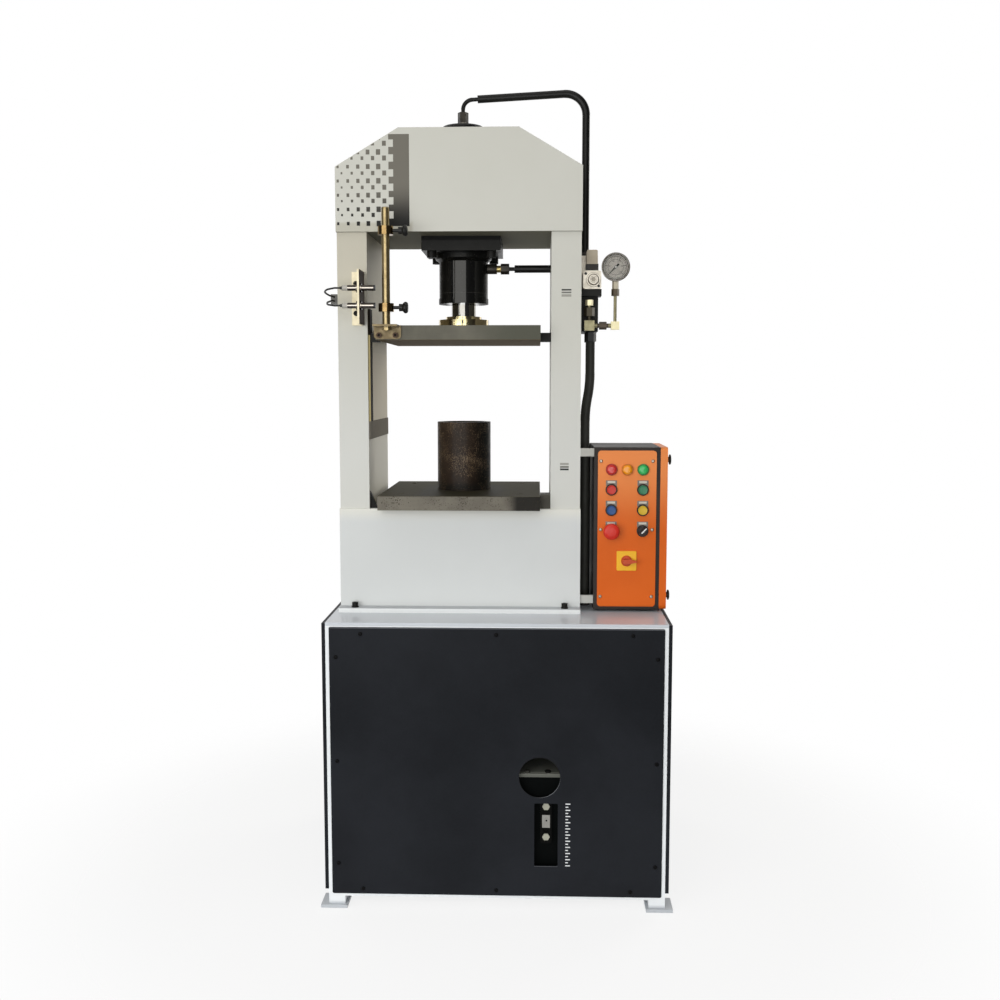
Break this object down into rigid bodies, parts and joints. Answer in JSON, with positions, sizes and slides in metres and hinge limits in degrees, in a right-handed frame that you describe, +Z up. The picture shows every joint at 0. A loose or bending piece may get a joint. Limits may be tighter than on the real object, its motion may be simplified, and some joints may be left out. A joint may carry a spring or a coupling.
{
  "type": "hydraulic press",
  "caption": "Hydraulic bench press with a portal frame on a power pack cabinet, a ram with platen, a trip rod with limit sensors and a control box.",
  "frame": {"origin": "on the floor, under the middle of the cabinet", "axes": "+X to the right as seen by the operator, +Y to the back, +Z up"},
  "size_m": [0.86, 0.692, 2.0285],
  "materials": {
    "frame_paint": "satin",
    "white_paint": "satin",
    "top_sheet": "gloss",
    "black_paint": "satin",
    "grey_paint": "satin",
    "blue_paint": "satin",
    "orange_paint": "gloss",
    "ground_steel": "ground",
    "dark_steel": "blackened",
    "bright_steel": "turned",
    "black_gloss": "gloss",
    "chrome": "polished",
    "yellow_zinc": "zinc plated",
    "bronze_zinc": "zinc plated",
    "brass": "machined",
    "aluminium": "cast",
    "black_plastic": "matt",
    "grey_plastic": "matt",
    "clear_plastic": "gloss",
    "black_rubber": "matt",
    "lamp_lens": "gloss",
    "red_plastic": "gloss",
    "green_plastic": "gloss",
    "blue_plastic": "gloss",
    "yellow_plastic": "gloss"
  },
  "bodies": {
    "machine": {"cabinet_frame": "white_paint", "cabinet_top": "top_sheet", "front_panel": "black_paint", "cover_panels": "black_paint", "oil_tank": "grey_paint", "level_gauge": "clear_plastic", "motor_body": "blue_paint", "gear_pump": "aluminium", "frame_base": "frame_paint", "left_column": "frame_paint", "right_column": "frame_paint", "crosshead": "frame_paint", "frame_bolts": "dark_steel", "bed_plate": "ground_steel", "bed_blocks": "dark_steel", "support_sleeve": "dark_steel", "guide_rail": "brass", "cylinder_barrel": "black_gloss", "cylinder_gland": "dark_steel", "sensor_bracket": "yellow_zinc", "limit_sensors": "black_plastic", "upper_sensor_cable": "black_rubber", "lower_sensor_cable": "black_rubber", "cable_block": "black_plastic", "manifold_block": "dark_steel", "solenoid_valve": "aluminium", "valve_plug": "grey_plastic", "gauge_pipework": "brass", "gauge_case": "chrome", "top_pipe": "black_rubber", "side_pipe": "black_rubber", "pipe_fittings": "dark_steel", "supply_hoses": "black_rubber", "control_box": "black_paint", "control_plate": "orange_paint", "switch_bezels": "black_plastic", "pilot_lamps": "lamp_lens"},
    "ram": {"piston": "dark_steel", "piston_rod": "chrome", "rod_clamp": "yellow_zinc", "platen": "dark_steel", "guide_shoes": "yellow_zinc", "trip_bracket": "yellow_zinc", "trip_rod": "yellow_zinc"},
    "lower_collar": {"lower_collar": "bronze_zinc"},
    "upper_collar": {"upper_collar": "bronze_zinc"},
    "lower_collar_knob": {"lower_collar_knob": "black_plastic"},
    "upper_collar_knob": {"upper_collar_knob": "black_plastic"},
    "red_button": {"red_button": "red_plastic"},
    "green_button": {"green_button": "green_plastic"},
    "blue_button": {"blue_button": "blue_plastic"},
    "yellow_button": {"yellow_button": "yellow_plastic"},
    "stop_button": {"stop_button": "red_plastic"},
    "selector_knob": {"selector_knob": "black_plastic"},
    "isolator_handle": {"isolator_handle": "red_plastic"},
    "box_door": {"box_door": "orange_paint"},
    "upper_door_knob": {"upper_door_knob": "black_plastic"},
    "lower_door_knob": {"lower_door_knob": "black_plastic"},
    "gauge_needle": {"gauge_needle": "black_plastic"},
    "motor_rotor": {"motor_rotor": "bright_steel"}
  },
  "joints": [
    {"name": "ram_stroke", "type": "slide", "parent": "machine", "child": "ram", "axis": [0, 0, -1], "range_m": [0, 0.195]},
    {"name": "lower_collar_slide", "type": "slide", "parent": "ram", "child": "lower_collar", "axis": [0, 0, 1], "range_m": [-0.015, 0.06]},
    {"name": "upper_collar_slide", "type": "slide", "parent": "ram", "child": "upper_collar", "axis": [0, 0, 1], "range_m": [-0.1, 0.03]},
    {"name": "lower_collar_knob_turn", "type": "hinge", "parent": "lower_collar", "child": "lower_collar_knob", "pos_m": [-0.268, -0.245, 1.462], "axis": [1, 0, 0], "continuous": true},
    {"name": "upper_collar_knob_turn", "type": "hinge", "parent": "upper_collar", "child": "upper_collar_knob", "pos_m": [-0.268, -0.245, 1.644], "axis": [1, 0, 0], "continuous": true},
    {"name": "red_button_push", "type": "slide", "parent": "machine", "child": "red_button", "axis": [0, 1, 0], "range_m": [0, 0.0035], "stiffness_N_per_m": 400},
    {"name": "green_button_push", "type": "slide", "parent": "machine", "child": "green_button", "axis": [0, 1, 0], "range_m": [0, 0.0035], "stiffness_N_per_m": 400},
    {"name": "blue_button_push", "type": "slide", "parent": "machine", "child": "blue_button", "axis": [0, 1, 0], "range_m": [0, 0.0035], "stiffness_N_per_m": 400},
    {"name": "yellow_button_push", "type": "slide", "parent": "machine", "child": "yellow_button", "axis": [0, 1, 0], "range_m": [0, 0.0035], "stiffness_N_per_m": 400},
    {"name": "stop_button_push", "type": "slide", "parent": "machine", "child": "stop_button", "axis": [0, 1, 0], "range_m": [0, 0.004], "stiffness_N_per_m": 600},
    {"name": "selector_turn", "type": "hinge", "parent": "machine", "child": "selector_knob", "pos_m": [0.359, -0.186, 0.915], "axis": [0, 1, 0], "range_deg": [-90, 0]},
    {"name": "isolator_turn", "type": "hinge", "parent": "machine", "child": "isolator_handle", "pos_m": [0.32, -0.186, 0.84], "axis": [0, 1, 0], "range_deg": [-90, 0]},
    {"name": "box_door_swing", "type": "hinge", "parent": "machine", "child": "box_door", "pos_m": [0.4022, 0.043, 0.9], "axis": [0, 0, 1], "range_deg": [0, 110]},
    {"name": "upper_door_knob_turn", "type": "hinge", "parent": "box_door", "child": "upper_door_knob", "pos_m": [0.42, -0.167, 1.092], "axis": [1, 0, 0], "continuous": true},
    {"name": "lower_door_knob_turn", "type": "hinge", "parent": "box_door", "child": "lower_door_knob", "pos_m": [0.42, -0.167, 0.751], "axis": [1, 0, 0], "continuous": true},
    {"name": "gauge_needle_turn", "type": "hinge", "parent": "machine", "child": "gauge_needle", "pos_m": [0.289, -0.15, 1.5665], "axis": [0, 1, 0], "range_deg": [0, 270]},
    {"name": "motor_spin", "type": "hinge", "parent": "machine", "child": "motor_rotor", "pos_m": [0.15, -0.05, 0.5], "axis": [0, 0, 1], "continuous": true}
  ]
}
